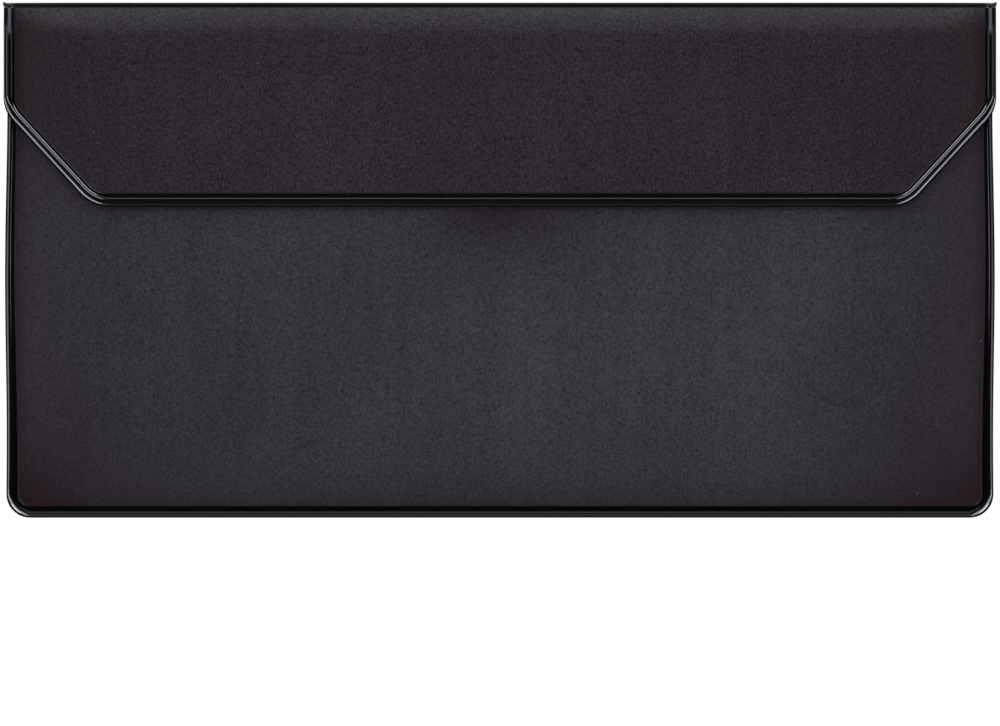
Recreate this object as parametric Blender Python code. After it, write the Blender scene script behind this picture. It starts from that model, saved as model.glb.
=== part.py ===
"""Travel document pouch: a flat wallet of leather-grain vinyl with a fold-over flap.

The pouch lies on its back. X runs along the fold, +Y points at the fold and +Z out of the front. The origin
is on the surface that the pouch lies on, under the middle of its outline. Lengths are in metres.

Four vinyl sheets make the pouch. A cover and a lining both run up the back, over the fold and down the flap.
A front panel has a lining of its own. Welds fuse the sheets along their edges. The front is swollen, so that
the pocket holds its documents. The flap follows that swell, rolls down to the fold past the pocket's mouth,
and turns about the fold.
"""

import math

import bmesh
import bpy
from mathutils import Vector

MM = 0.001

# Outline of the body
BODY_WIDTH = 246.5 * MM
BODY_HEIGHT = 128.5 * MM
BODY_CORNER_RADIUS = 6.0 * MM

# Outline of the flap
FLAP_OVERHANG = 0.55 * MM  # how far the flap stands out past each side of the body
FLAP_DEPTH = 51.0 * MM  # from the fold to the lower edge
FLAP_SIDE_DEPTH = 26.75 * MM  # from the fold to where the cut corner starts
FLAP_CUT_WIDTH = 22.45 * MM  # how far each cut corner takes the lower edge in
FLAP_SIDE_RADIUS = 9.5 * MM
FLAP_FOOT_RADIUS = 11.0 * MM

# Sheets
COVER_THICKNESS = 0.40 * MM
LINING_THICKNESS = 0.25 * MM
PLY_GAP = 0.30 * MM  # between one sheet and the next
EDGE_GAP = 0.30 * MM  # between the edge of a sheet and the weld or sheet beside it

# Pocket
SWELL = 4.6 * MM  # how much the front rises above its edges
SWELL_RAMP = 24.0 * MM  # how far in from the weld the front reaches its full height
MOUTH_DROP = 9.0 * MM  # from the fold to the edge of the pocket's mouth
MOUTH_WELD_WIDTH = 2.0 * MM

# Fold
CREASE_INSET = 1.2 * MM  # from the fold's outer face to the crease on either side
FOLD_SWELL = 0.7 * MM  # how much of the swell is left at the crease
FOLD_SQUARENESS = 3.0  # 2 makes the fold's section half an ellipse, and more makes it squarer
OPEN_FLAP_GAP = 0.05 * MM  # between the table and the flap that is folded right back
EAR = 0.25 * MM  # how far the weld stands out where it wraps over each end of the fold

# Weld of the body, across its width
BODY_BEAD_WIDTH = 1.5 * MM
BODY_GROOVE_WIDTH = 1.0 * MM
BEAD_ROUNDING = 0.45 * MM
WEB_SHARE = 0.36  # how much of the stack is left under the groove
STACK_RUNOUT = 4.0 * MM  # how far past the mouth the weld thins from four plies to two

# Weld of the flap, across its width
FLAP_LIP_WIDTH = 0.95 * MM
FLAP_RIDGE_WIDTH = 1.0 * MM
FLAP_GROOVE_WIDTH = 0.85 * MM
RIDGE_SHOULDER = 0.25 * MM
FLAP_LIP_HEIGHT = 0.60 * MM
FLAP_VALLEY_HEIGHT = 0.45 * MM
FLAP_WEB_HEIGHT = 0.40 * MM
LIP_ROUNDING = 0.15 * MM

# Fineness of the solids
RAMP_STEPS = 6
ROLL_STEPS = 4
CORNER_STEPS = 8
BEAD_STEPS = 4
FOLD_STEPS = 10
LEAST_RUN = 0.5 * MM  # bend lines nearer a corner than this get no point of their own
SAME_PLACE = 0.01 * MM
SAME_PLANE = math.radians(0.01)
SHARP_EDGE = math.radians(30)

# Finishes: linear colour and roughness
COVER_FINISH = ((0.026, 0.022, 0.028), 0.50)
FRONT_FINISH = ((0.036, 0.035, 0.044), 0.50)
LINING_FINISH = ((0.020, 0.020, 0.022), 0.35)
MELTED_FINISH = ((0.012, 0.011, 0.013), 0.20)

# Worked out from the sizes above
HALF_WIDTH = BODY_WIDTH / 2
FOLD_Y = BODY_HEIGHT / 2
BOTTOM_Y = -BODY_HEIGHT / 2
CREASE_Y = FOLD_Y - CREASE_INSET
MOUTH_Y = FOLD_Y - MOUTH_DROP
SHEET_TOP_Y = CREASE_Y - EDGE_GAP
FLAP_HALF_WIDTH = HALF_WIDTH + FLAP_OVERHANG
BODY_WELD_WIDTH = BODY_BEAD_WIDTH + BODY_GROOVE_WIDTH
FLAP_WELD_WIDTH = FLAP_LIP_WIDTH + FLAP_RIDGE_WIDTH + FLAP_GROOVE_WIDTH
BODY_INSET = BODY_WELD_WIDTH + EDGE_GAP
FLAP_INSET = FLAP_WELD_WIDTH + EDGE_GAP
PANEL_SIDE = HALF_WIDTH - BODY_INSET
PANEL_BOTTOM = BOTTOM_Y + BODY_INSET
TWO_PLIES = COVER_THICKNESS + PLY_GAP + LINING_THICKNESS
LINING_BACK_Z = COVER_THICKNESS + PLY_GAP
FRONT_LINING_Z = TWO_PLIES + PLY_GAP
FRONT_PANEL_Z = FRONT_LINING_Z + LINING_THICKNESS + PLY_GAP
FOUR_PLIES = FRONT_PANEL_Z + COVER_THICKNESS
FLAP_Z = FOUR_PLIES + PLY_GAP
COVER_FLAP_RISE = LINING_THICKNESS + PLY_GAP
FLAP_TOP = FLAP_Z + SWELL + TWO_PLIES
HINGE_HEIGHT = (FLAP_TOP + OPEN_FLAP_GAP) / 2


def flat(height):
    """A surface that stays at this height."""
    return lambda x, y: height


def rounded_rise(distance):
    """From 0 at a weld to 1 where the ramp ends, steep at the weld and level at the end."""
    left = 1 - min(max(distance / SWELL_RAMP, 0.0), 1.0)
    return 1 - left * left


def swell(x, y):
    """How far the front has risen above its edges."""
    return SWELL * rounded_rise(PANEL_SIDE - abs(x)) * rounded_rise(y - PANEL_BOTTOM)


def roll(y):
    """How far the flap has rolled down towards the fold: 0 at the pocket's mouth and 1 at the crease."""
    share = min(max((y - MOUTH_Y) / (CREASE_Y - MOUTH_Y), 0.0), 1.0)
    return share * share


def edge_stack(y):
    """Thickness of the body's welded edge: four plies beside the pocket, and two past its mouth."""
    thinned = min(max((y - MOUTH_Y) / STACK_RUNOUT, 0.0), 1.0)
    return FOUR_PLIES - (FOUR_PLIES - TWO_PLIES) * thinned


def under_flap(x, y):
    """Height of the flap's underside."""
    kept = 1 - roll(y) * (1 - FOLD_SWELL / SWELL)
    return FLAP_Z + swell(x, y) * kept


def bend_lines():
    """X and Y of the lines along which the sheets bend."""
    ramp = [SWELL_RAMP * i / RAMP_STEPS for i in range(RAMP_STEPS + 1)]
    rolled = [MOUTH_Y + (CREASE_Y - MOUTH_Y) * i / ROLL_STEPS for i in range(ROLL_STEPS)]
    across = [step - PANEL_SIDE for step in ramp] + [0.0] + [PANEL_SIDE - step for step in ramp[::-1]]
    return across, [PANEL_BOTTOM + step for step in ramp] + rolled


BEND_X, BEND_Y = bend_lines()


def run_with_bends(start, end):
    """The points from start up to end, with one wherever the straight run crosses a bend line."""
    margin = LEAST_RUN / (end - start).length
    shares = set()
    for axis, places in enumerate((BEND_X, BEND_Y)):
        length = end[axis] - start[axis]
        if abs(length) > LEAST_RUN:
            shares |= {(place - start[axis]) / length for place in places}
    inner = sorted(share for share in shares if margin < share < 1 - margin)
    return [start.lerp(end, share) for share in [0.0] + inner]


def turned(vector, angle):
    """A flat vector turned to the left."""
    cos, sin = math.cos(angle), math.sin(angle)
    return Vector((vector.x * cos - vector.y * sin, vector.x * sin + vector.y * cos))


def rounded_path(corners):
    """Points along an open line with rounded corners, each with the direction to the left of the line.

    Each corner is (x, y, radius). The first and the last are the line's ends, whose radius is unused.
    """
    places = [Vector(corner[:2]) for corner in corners]
    path = []
    start = places[0]
    for before, here, after, corner in zip(places, places[1:], places[2:], corners[1:]):
        along = (here - before).normalized()
        onward = (after - here).normalized()
        turn = -along.angle_signed(onward)
        radius = corner[2]
        reach = along * radius * math.tan(turn / 2)
        left = turned(along, math.pi / 2)
        path += [(point, left) for point in run_with_bends(start, here - reach)]
        centre = here - reach + left * radius
        for i in range(CORNER_STEPS):
            inward = turned(left, turn * i / CORNER_STEPS)
            path.append((centre - inward * radius, inward))
        start = here + onward * reach.length
    left = turned((places[-1] - places[-2]).normalized(), math.pi / 2)
    path += [(point, left) for point in run_with_bends(start, places[-1])]
    return path + [(places[-1], left)]


def body_path(top):
    """The body's outer edge, from y = top on the left, round the bottom and up to y = top on the right."""
    return rounded_path(
        [
            (-HALF_WIDTH, top, 0),
            (-HALF_WIDTH, BOTTOM_Y, BODY_CORNER_RADIUS),
            (HALF_WIDTH, BOTTOM_Y, BODY_CORNER_RADIUS),
            (HALF_WIDTH, top, 0),
        ]
    )


def flap_path(top):
    """The flap's outer edge, in the same direction, along both cut corners."""
    foot = FLAP_HALF_WIDTH - FLAP_CUT_WIDTH
    cut_start = FOLD_Y - FLAP_SIDE_DEPTH
    lower = FOLD_Y - FLAP_DEPTH
    return rounded_path(
        [
            (-FLAP_HALF_WIDTH, top, 0),
            (-FLAP_HALF_WIDTH, cut_start, FLAP_SIDE_RADIUS),
            (-foot, lower, FLAP_FOOT_RADIUS),
            (foot, lower, FLAP_FOOT_RADIUS),
            (FLAP_HALF_WIDTH, cut_start, FLAP_SIDE_RADIUS),
            (FLAP_HALF_WIDTH, top, 0),
        ]
    )


def inset(path, distance):
    """The outline that lies this far inside a path."""
    return [point + inward * distance for point, inward in path]


def vinyl(name, colour, roughness):
    """Plasticised vinyl of this colour."""
    made = bpy.data.materials.new(name)
    made.use_nodes = True
    shader = made.node_tree.nodes["Principled BSDF"]
    shader.inputs["Base Color"].default_value = (*colour, 1)
    shader.inputs["Roughness"].default_value = roughness
    shader.inputs["Metallic"].default_value = 0.0
    made.diffuse_color = (*colour, 1)
    made.roughness = roughness
    return made


def add_empty(name, place):
    """A frame that a body's pieces hang on."""
    made = bpy.data.objects.new(name, None)
    made.location = place
    made.empty_display_size = SWELL_RAMP
    bpy.context.scene.collection.objects.link(made)
    return made


def add_object(name, bm, finish, parent):
    """Turn the finished mesh into an object under its parent, its points counted from the parent's place."""
    bmesh.ops.recalc_face_normals(bm, faces=bm.faces)
    bmesh.ops.translate(bm, verts=bm.verts, vec=-parent.location)
    mesh = bpy.data.meshes.new(name)
    bm.to_mesh(mesh)
    bm.free()
    mesh.materials.append(vinyl(name, *finish))
    mesh.shade_smooth()
    mesh.set_sharp_from_angle(angle=SHARP_EDGE)
    made = bpy.data.objects.new(name, mesh)
    bpy.context.scene.collection.objects.link(made)
    made.parent = parent
    return made


def cut_along(bm, places, normal):
    """Cut the flat face where it crosses these lines."""
    for place in places:
        geometry = bm.verts[:] + bm.edges[:] + bm.faces[:]
        bmesh.ops.bisect_plane(bm, geom=geometry, dist=SAME_PLACE, plane_co=normal * place, plane_no=normal)


def add_sheet(name, outline, underside, thickness, finish, parent):
    """A sheet with this outline, whose underside follows a height function and bends along the bend lines."""
    bm = bmesh.new()
    bm.faces.new([bm.verts.new((point.x, point.y, 0)) for point in outline])
    cut_along(bm, BEND_X, Vector((1, 0, 0)))
    cut_along(bm, BEND_Y, Vector((0, 1, 0)))
    bmesh.ops.triangulate(bm, faces=bm.faces[:])
    made = bmesh.ops.extrude_face_region(bm, geom=bm.faces[:], use_keep_orig=True)
    for vert in bm.verts:
        vert.co.z = underside(vert.co.x, vert.co.y)
    for vert in made["geom"]:
        if isinstance(vert, bmesh.types.BMVert):
            vert.co.z += thickness
    bmesh.ops.dissolve_limit(bm, angle_limit=SAME_PLANE, verts=bm.verts[:], edges=bm.edges[:])
    return add_object(name, bm, finish, parent)


def add_swept(name, rings, finish, parent):
    """A bar through a row of like rings of points, closed at both ends."""
    bm = bmesh.new()
    rows = [[bm.verts.new(point) for point in ring] for ring in rings]
    for row, following in zip(rows, rows[1:]):
        for i, vert in enumerate(row):
            j = (i + 1) % len(row)
            bm.faces.new((vert, row[j], following[j], following[i]))
    bm.faces.new(rows[0])
    bm.faces.new(rows[-1])
    return add_object(name, bm, finish, parent)


def add_weld(name, path, profile, underside, finish, parent):
    """A weld along a path. profile(y) gives its section there, as (distance in from the path, height)."""
    rings = []
    for point, inward in path:
        ring = []
        for across, height in profile(point.y):
            place = point + inward * across
            ring.append((place.x, place.y, height + underside(place.x, place.y)))
        rings.append(ring)
    return add_swept(name, rings, finish, parent)


def body_weld_profile(y):
    """A round bead along the edge, and inside it the thin web at the bottom of a groove on either face."""
    stack = edge_stack(y)
    web_top = stack * (1 + WEB_SHARE) / 2
    rounding = min(BEAD_ROUNDING, (stack - web_top) / 2)
    upper = []
    for i in range(BEAD_STEPS + 1):
        angle = math.pi / 2 * i / BEAD_STEPS
        upper.append((rounding * (1 - math.cos(angle)), stack - rounding * (1 - math.sin(angle))))
    upper += [
        (BODY_BEAD_WIDTH - rounding, stack),
        (BODY_BEAD_WIDTH, stack - rounding),
        (BODY_BEAD_WIDTH, web_top),
        (BODY_WELD_WIDTH, web_top),
    ]
    return upper + [(across, stack - height) for across, height in upper[::-1]]


def flap_weld_profile(y):
    """A thin lip along the edge, a valley, a raised ridge with two shoulders and the web in the groove."""
    groove = FLAP_LIP_WIDTH + FLAP_RIDGE_WIDTH
    return [
        (LIP_ROUNDING, 0),
        (0, LIP_ROUNDING),
        (0, FLAP_LIP_HEIGHT - LIP_ROUNDING),
        (LIP_ROUNDING, FLAP_LIP_HEIGHT),
        (FLAP_LIP_WIDTH / 2, FLAP_LIP_HEIGHT),
        (FLAP_LIP_WIDTH, FLAP_VALLEY_HEIGHT),
        (FLAP_LIP_WIDTH + RIDGE_SHOULDER, TWO_PLIES),
        (groove - RIDGE_SHOULDER, TWO_PLIES),
        (groove, FLAP_WEB_HEIGHT),
        (FLAP_WELD_WIDTH, FLAP_WEB_HEIGHT),
        (FLAP_WELD_WIDTH, 0),
    ]


def mouth_weld_profile(y):
    """A flat hem with the corners of its free edge taken off."""
    height = FOUR_PLIES - FRONT_LINING_Z
    return [
        (LIP_ROUNDING, 0),
        (0, LIP_ROUNDING),
        (0, height - LIP_ROUNDING),
        (LIP_ROUNDING, height),
        (MOUTH_WELD_WIDTH, height),
        (MOUTH_WELD_WIDTH, 0),
    ]


def fold_section(x, depth):
    """Half a squared ellipse from the back's crease to the flap's, this deep under the fold's outer face."""
    top = under_flap(x, CREASE_Y) + TWO_PLIES
    reach = CREASE_INSET - depth
    half = top / 2 - depth
    power = 2 / FOLD_SQUARENESS
    section = []
    for i in range(FOLD_STEPS + 1):
        angle = math.pi * (i / FOLD_STEPS - 0.5)
        out = max(math.cos(angle), 0.0) ** power
        up = math.copysign(abs(math.sin(angle)) ** power, angle)
        section.append((x, CREASE_Y + reach * out, top / 2 + half * up))
    return section


def add_fold_piece(name, low, high, depth, thickness, finish, parent):
    """The stretch of a sheet or weld that goes round the fold, between two X places."""
    inner = [x for x in BEND_X if low + LEAST_RUN < x < high - LEAST_RUN]
    rings = [
        fold_section(x, depth) + fold_section(x, depth + thickness)[::-1] for x in [low] + inner + [high]
    ]
    return add_swept(name, rings, finish, parent)


def add_back(pouch):
    """The back: the cover sheet that the pouch lies on, and the lining inside it."""
    outline = inset(body_path(SHEET_TOP_Y), BODY_INSET)
    add_sheet("cover_back", outline, flat(0.0), COVER_THICKNESS, COVER_FINISH, pouch)
    add_sheet("lining_back", outline, flat(LINING_BACK_Z), LINING_THICKNESS, LINING_FINISH, pouch)


def add_front(pouch):
    """The pocket's front: its swollen panel, the lining behind it and the welded hem along the mouth."""

    def under_lining(x, y):
        return FRONT_LINING_Z + swell(x, y)

    def under_panel(x, y):
        return FRONT_PANEL_Z + swell(x, y)

    outline = inset(body_path(MOUTH_Y - MOUTH_WELD_WIDTH - EDGE_GAP), BODY_INSET)
    add_sheet("front_lining", outline, under_lining, LINING_THICKNESS, LINING_FINISH, pouch)
    add_sheet("front_panel", outline, under_panel, COVER_THICKNESS, FRONT_FINISH, pouch)
    ends = [Vector((-PANEL_SIDE, MOUTH_Y)), Vector((PANEL_SIDE, MOUTH_Y))]
    points = run_with_bends(*ends) + [ends[1]]
    hem = [(point, Vector((0, -1))) for point in points]
    add_weld("mouth_weld", hem, mouth_weld_profile, under_lining, MELTED_FINISH, pouch)


def add_fold(pouch):
    """The fold: the bending stretch of the cover and the lining, and of the weld at both ends."""
    end = FLAP_HALF_WIDTH - FLAP_INSET
    lining_depth = COVER_THICKNESS + PLY_GAP
    add_fold_piece("cover_spine", -end, end, 0.0, COVER_THICKNESS, COVER_FINISH, pouch)
    add_fold_piece("lining_spine", -end, end, lining_depth, LINING_THICKNESS, LINING_FINISH, pouch)
    outer = FLAP_HALF_WIDTH + EAR
    inner = FLAP_HALF_WIDTH - FLAP_WELD_WIDTH
    add_fold_piece("spine_weld_left", -outer, -inner, 0.0, TWO_PLIES, MELTED_FINISH, pouch)
    add_fold_piece("spine_weld_right", inner, outer, 0.0, TWO_PLIES, MELTED_FINISH, pouch)


def add_flap(flap):
    """The flap: its cover and lining, inside the ridged weld that runs round its edge."""

    def under_cover(x, y):
        return under_flap(x, y) + COVER_FLAP_RISE

    outline = inset(flap_path(SHEET_TOP_Y), FLAP_INSET)
    add_sheet("lining_flap", outline, under_flap, LINING_THICKNESS, LINING_FINISH, flap)
    add_sheet("cover_flap", outline, under_cover, COVER_THICKNESS, COVER_FINISH, flap)
    add_weld("flap_weld", flap_path(SHEET_TOP_Y), flap_weld_profile, under_flap, MELTED_FINISH, flap)


def main():
    for old in list(bpy.context.scene.objects):
        bpy.data.objects.remove(old)
    pouch = add_empty("pouch", (0, 0, 0))
    flap = add_empty("flap", (0, FOLD_Y, HINGE_HEIGHT))
    add_back(pouch)
    add_front(pouch)
    add_weld("pouch_weld", body_path(SHEET_TOP_Y), body_weld_profile, flat(0.0), MELTED_FINISH, pouch)
    add_fold(pouch)
    add_flap(flap)


main()
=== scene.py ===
"""Travel document pouch in leather-grain vinyl, with a fold-over flap and welded edges.

The pouch lies on its back. X runs along the fold, +Y points at the fold and +Z out of the front. Lengths are in
metres. Every surface is worked out as whole arrays: a sheet is a grid over its outline, and a weld is a section
carried along its path.
"""

import math
from functools import partial

import bpy
import numpy as np
from bpy.props import FloatProperty, FloatVectorProperty, PointerProperty
from bpy.types import Operator, Panel, PropertyGroup
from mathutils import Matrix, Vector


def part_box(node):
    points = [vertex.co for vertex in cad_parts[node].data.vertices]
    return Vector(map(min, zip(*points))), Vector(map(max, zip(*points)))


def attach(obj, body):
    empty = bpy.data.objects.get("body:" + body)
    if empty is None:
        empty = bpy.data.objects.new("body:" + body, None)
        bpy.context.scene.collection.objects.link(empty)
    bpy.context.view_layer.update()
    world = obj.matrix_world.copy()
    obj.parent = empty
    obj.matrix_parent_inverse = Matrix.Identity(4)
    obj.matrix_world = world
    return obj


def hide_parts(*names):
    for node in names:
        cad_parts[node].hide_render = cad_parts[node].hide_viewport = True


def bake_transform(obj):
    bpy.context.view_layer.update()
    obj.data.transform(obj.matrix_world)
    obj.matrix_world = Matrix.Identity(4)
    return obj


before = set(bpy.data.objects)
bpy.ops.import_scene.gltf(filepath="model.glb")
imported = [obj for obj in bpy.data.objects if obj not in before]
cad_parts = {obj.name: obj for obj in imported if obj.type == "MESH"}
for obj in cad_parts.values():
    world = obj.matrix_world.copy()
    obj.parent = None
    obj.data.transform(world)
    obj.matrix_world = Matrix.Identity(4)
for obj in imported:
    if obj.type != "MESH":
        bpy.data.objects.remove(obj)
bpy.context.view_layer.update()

bl_info = {
    "name": "Travel document pouch",
    "version": (1, 0, 0),
    "blender": (4, 5, 0),
    "location": "View3D > Sidebar > Pouch",
    "description": "Dresses the packed travel document pouch in leather-grain vinyl with welded edges",
    "category": "Add Mesh",
}

MM = 0.001

# The materials, the slots that they fill, and of those with a grain the contrast of the painted shade in its creases
# and the cells' relative size
COVER = "leather_embossed_pvc_cover"
FRONT = "leather_embossed_pvc_front"
LINING = "fine_embossed_pvc_lining"
WELD = "melted_pvc_weld"
GRAINS = {COVER: (0.72, 1.0), FRONT: (0.48, 1.0), LINING: (0.30, 0.5)}

# Each sheet's body, the node that it stands for, its material, how it is held and what it rests on
SHEETS = {
    "back_sheet": ("pouch", "cover_back", COVER, "laid", []),
    "back_lining_sheet": ("pouch", "lining_back", LINING, "laid", ["back_sheet"]),
    "front_sheet": ("pouch", "front_panel", FRONT, "stretched", ["body_weld_bead"]),
    "front_lining_sheet": ("pouch", "front_lining", LINING, "stretched", ["front_sheet"]),
    "flap_sheet": ("flap", "cover_flap", COVER, "folded", ["front_sheet"]),
    "flap_lining_sheet": ("flap", "lining_flap", LINING, "folded", ["front_sheet"]),
}

# Vinyl: how it bends light, and the sizes of its patterns
VINYL_IOR = 1.53
HAZE_PATCH = 48.0 * MM
SCUFF, SCUFF_SHARE = (3.0 * MM, 60.0 * MM, 20.0 * MM), 0.4  # a streak in the haze, along X, Y and Z
DUST_SPACING, DUST_COLOUR = 9.0 * MM, "#5f5c64"
SET_WAVE, SET_WAVE_DEPTH = 5.0 * MM, 0.05 * MM  # unevenness of the weld where it set
GLOSS_PATCH, WELD_SHADES = 9.0 * MM, (0.7, 1.3)
MIX_FACTOR, MIX_A, MIX_B, MIX_RESULT = 0, 6, 7, 2  # sockets of a Mix node that mixes colours

# Places read from the frame
BODY_LOW, BODY_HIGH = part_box("pouch_weld")
FLAP_LOW, FLAP_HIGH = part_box("flap_weld")
FRONT_LOW, FRONT_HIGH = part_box("front_panel")
BACK_LOW, BACK_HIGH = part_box("cover_back")
LINING_LOW, LINING_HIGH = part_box("lining_back")
HEM_LOW, HEM_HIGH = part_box("mouth_weld")
FOLD_LOW, FOLD_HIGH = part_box("cover_spine")
HALF_WIDTH = BODY_HIGH.x
BOTTOM_Y = BODY_LOW.y
FOLD_Y = FOLD_HIGH.y
CREASE_Y = FOLD_LOW.y
CREASE_INSET = FOLD_Y - CREASE_Y
MOUTH_Y = HEM_HIGH.y
HEM_LOWER_Y = HEM_LOW.y
FLAP_HALF_WIDTH = FLAP_HIGH.x
FLAP_LOWER_Y = FLAP_LOW.y
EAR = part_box("spine_weld_right")[1].x - FLAP_HALF_WIDTH
PANEL_SIDE = FRONT_HIGH.x
PANEL_BOTTOM = FRONT_LOW.y
COVER_THICKNESS = BACK_HIGH.z - BACK_LOW.z
LINING_THICKNESS = LINING_HIGH.z - LINING_LOW.z
TWO_PLIES = LINING_HIGH.z
FOUR_PLIES = BODY_HIGH.z
FRONT_LINING_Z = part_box("front_lining")[0].z
FLAP_Z = FLAP_LOW.z
SWELL = FRONT_HIGH.z - FRONT_LOW.z - COVER_THICKNESS
FOLD_SWELL = FOLD_HIGH.z - FLAP_Z - TWO_PLIES

# Forms that the boxes don't give
BODY_CORNER_RADIUS = 6.0 * MM
FLAP_SIDE_DEPTH = 26.75 * MM  # from the fold down to the cut corner
FLAP_CUT_WIDTH = 22.45 * MM
FLAP_SIDE_RADIUS = 9.5 * MM
FLAP_FOOT_RADIUS = 11.0 * MM
SWELL_RAMP = 24.0 * MM  # over which the front rises from a weld
RAMP_START = 1.5 * MM  # over which that ramp gets its slope
WAVE_HEIGHT = 0.06 * MM
WAVE_ACROSS, WAVE_ALONG = 17.0 * MM, 23.0 * MM
WAVES = ((1.0, 0.4, 0.5), (0.6, -1.0, 2.1), (0.0, 0.8, 4.0))  # shares across and along, and the phase
DROOP = 0.7 * MM  # of the flap's free ends by the fold
STACK_RUNOUT = 4.0 * MM  # over which the edge thins from four plies to two
FOLD_SQUARENESS = 6.0
FOLD_FALL = 0.6  # share of the roll into the weld that the fold's outer face takes, and its inner face half of it
HEM_SQUARENESS = 6.0
HEM_CREST, HEM_CREST_HALF = 0.12 * MM, 0.5 * MM
LINING_LIFT = 0.12 * MM  # of the flap's lining at its edge
EAR_TIP = 0.30 * MM
EAR_WIDTH = 1.0 * MM
EAR_RELIEF = 0.4  # power with which the weld's relief dies out round the fold
GUARD = 0.03 * MM  # keeps the shading of a side off the level strip before it
WELD_MIDDLE = 1.2 * MM
LEVELLING = 0.7  # how far the flap's weld keeps level across its width
WIDE_START, WIDE_RUN = 1.5 * MM, 5.5 * MM  # where the flap's weld changes to the section of its sides
BEAD_RUN = 80.0 * MM  # over which the body's bead changes from the bottom up
SIDE_BOW, BOW_LEAN = 0.25 * MM, 0.4
CORNER_SPREAD = 1.3  # how early in a bottom corner the bead is at its widest

# Painted sheen and shade, partly handling haze: shares of the lighter tint, and the distances over which they change
EDGE_SHADE_START = 3.0 * MM
SIDE_SHADE, SIDE_SHADE_RUN = 0.70, 20.0 * MM
BOTTOM_SHADE, BOTTOM_SHADE_RUN = 0.65, 8.0 * MM
CORNER_SHADE, CORNER_SHADE_RUN = 0.60, 35.0 * MM
FLAP_SHEEN_AND_HAZE, FLAP_SIDE_SHADE, FLAP_SIDE_SHADE_RUN = 0.50, 0.85, 16.0 * MM
# a painted highlight on the flap's roll down to the fold
ROLL_SHEEN, ROLL_SHEEN_POWER = 0.72, 1.3
# painted shade along the fold's outermost line
FOLD_SHADED_LINE_SHARE = 0.3  # share that the fold's outermost line keeps
# painted shade below the middle of the flap's edge
SHADE_PATCH_SHARE, SHADE_PATCH_ACROSS, SHADE_PATCH_ALONG, SHADE_PATCH_BELOW = 0.70, 20.0 * MM, 11.0 * MM, 1.0 * MM
# painted shadow in a band along the flap's edge
SHADOW_BAND_SHARE, SHADOW_BAND_RUN = 0.55, 2.5 * MM
# the hot bar's smoothing, whose darker colour is painted shade on the roll into the weld and along the fold
PRESSED_START, PRESSED_RUN, PRESSED_AND_SHADED_STRIP = 1.15, 0.75, 0.8  # the run in widths of the edge's roll

# Fineness of the meshes
ROW_SPACING = 1.5 * MM
ARC_STEPS = 14
EDGE_ZONE = 7.0 * MM
LEAST_STEP = 0.05 * MM
STEP_GROWTH = 1.32
MIDDLE_COLUMNS = 150
FOLD_ROWS = 44
HEM_POINTS = 20
BEAD_POINTS, GROOVE_POINTS = 11, 4  # on each run of the body weld's section
SLOPE_POINTS, RIDGE_POINTS, UNDERSIDE_POINTS = 7, 9, 25  # on each run of the flap weld's section
SKIN = 0.10 * MM  # thickness of a sheet where it runs out into a weld
OVERLAP = 0.25 * MM  # how far a sheet's edge laps over the web of its weld
SHARP_EDGE = math.radians(50)

# Camera: straight down on the front, through a long lens
PHOTO_WIDTH = 1000
PHOTO_HEIGHT = 726
PIXEL = 0.2495 * MM
OBJECT_CENTRE_PX = (499.9, 260.2)
LENS = 300.0
SENSOR = 36.0
FLOOR_HALF = 40.0
FLOOR_GREY, FLOOR_GLOW = 0.22, 0.88
LAMP_DISTANCE = 2.0


def linear(code):
    """An sRGB hex colour as linear red, green, blue and alpha 1."""
    parts = [int(code[i:i + 2], 16) / 255 for i in (1, 3, 5)]
    return tuple(c / 12.92 if c <= 0.04045 else ((c + 0.055) / 1.055) ** 2.4 for c in parts) + (1.0,)


def in_mm(name, description, millimetres):
    """A length, with its default in millimetres."""
    return FloatProperty(name=name, description=description, default=millimetres * MM, unit="LENGTH")


def in_degrees(name, description, degrees):
    """A slope, with its default in degrees."""
    return FloatProperty(name=name, description=description, default=math.radians(degrees), unit="ROTATION")


def plain(name, description, default):
    """A share or a lamp's radiance, which has no unit here."""
    return FloatProperty(name=name, description=description, default=default)


def in_hex(name, description, code):
    """A colour, with its default as an sRGB hex value."""
    return FloatVectorProperty(name=name, description=description, default=linear(code)[:3], subtype="COLOR")


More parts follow.
